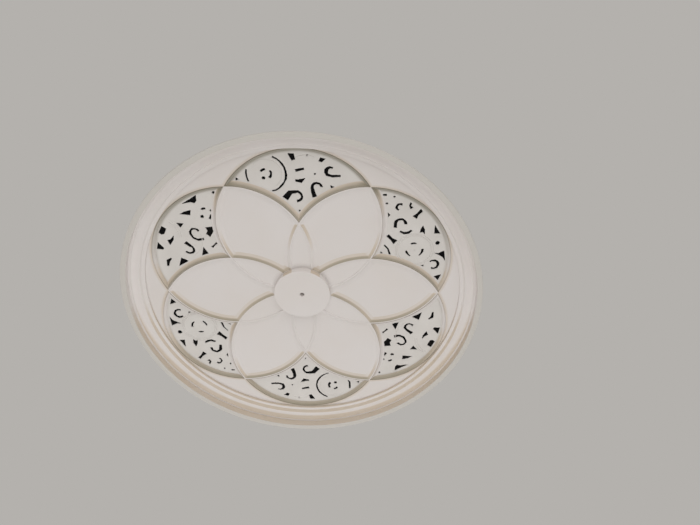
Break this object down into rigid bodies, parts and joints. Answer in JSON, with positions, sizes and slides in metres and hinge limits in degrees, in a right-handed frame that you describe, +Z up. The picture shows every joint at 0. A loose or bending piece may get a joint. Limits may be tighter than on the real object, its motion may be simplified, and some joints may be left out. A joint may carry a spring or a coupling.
{
  "type": "ceiling rose",
  "caption": "Round dished ceiling rose: a flower of overlapping circles in low relief, pierced fretwork behind its outer windows, and a plain round boss with a cable hole in the middle.",
  "frame": {"origin": "centre of the back, in the plane of the back ring that bears on the ceiling's timbers", "axes": "+Z up into the ceiling; the decorated face looks down, -Z; the near window of the picture is on -Y and its right-hand side on +X"},
  "size_m": [0.928, 0.928, 0.0535],
  "materials": {
    "painted_plaster": "cast plaster under old off-white distemper, matt",
    "painted_fret": "pierced sheet metal under many coats of matt off-white paint",
    "black_backing": "matt black board"
  },
  "bodies": {
    "root": {"rose_body": "painted_plaster", "fret_plate": "painted_fret", "backing_sheet": "black_backing"}
  },
  "joints": []
}
